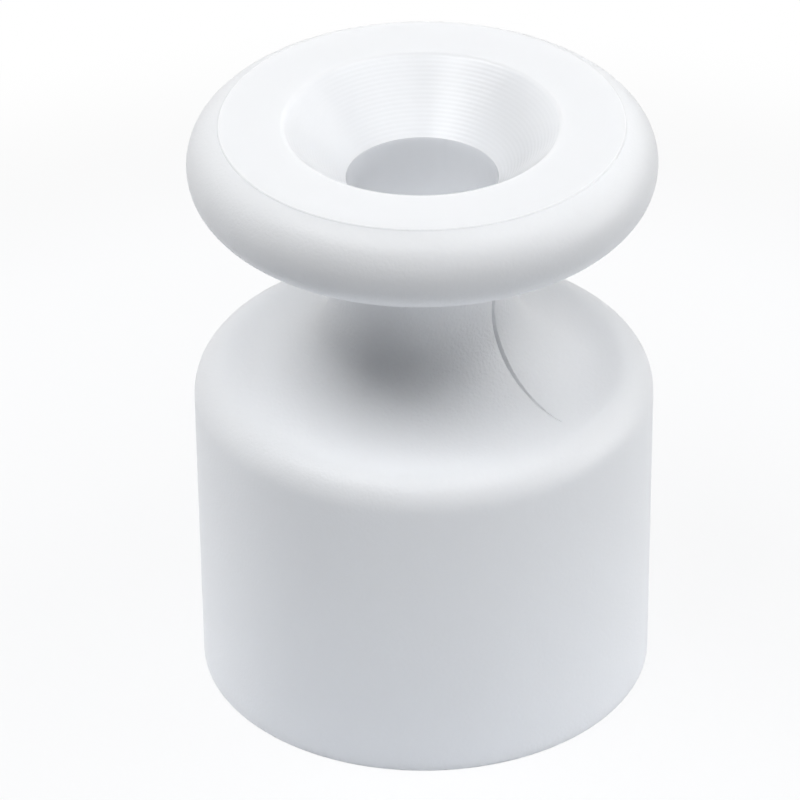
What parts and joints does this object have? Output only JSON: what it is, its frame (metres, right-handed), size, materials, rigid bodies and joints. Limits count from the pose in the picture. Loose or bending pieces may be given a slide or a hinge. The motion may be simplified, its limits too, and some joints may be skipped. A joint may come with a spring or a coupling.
{
  "type": "knob insulator",
  "caption": "White plastic knob insulator: a round head and base with a wire groove between them, fixed to a wall or post by a screw set deep in its countersunk hole.",
  "frame": {"origin": "centre of the flat foot of the base, where it sits on the wall or post", "axes": "+Z along the screw, away from the wall towards the head"},
  "size_m": [0.018, 0.018, 0.0354],
  "materials": {
    "white_plastic": "white moulded plastic, satin on the head and finely grained in the groove and on the base",
    "zinc_steel": "bright zinc plating over rolled steel"
  },
  "bodies": {
    "insulator": {"insulator_body": "white_plastic"},
    "screw": {"fixing_screw": "zinc_steel"}
  },
  "joints": [
    {"name": "screw_draw", "type": "slide", "parent": "insulator", "child": "screw", "axis": [0, 0, 1], "range_m": [0, 0.028]}
  ]
}
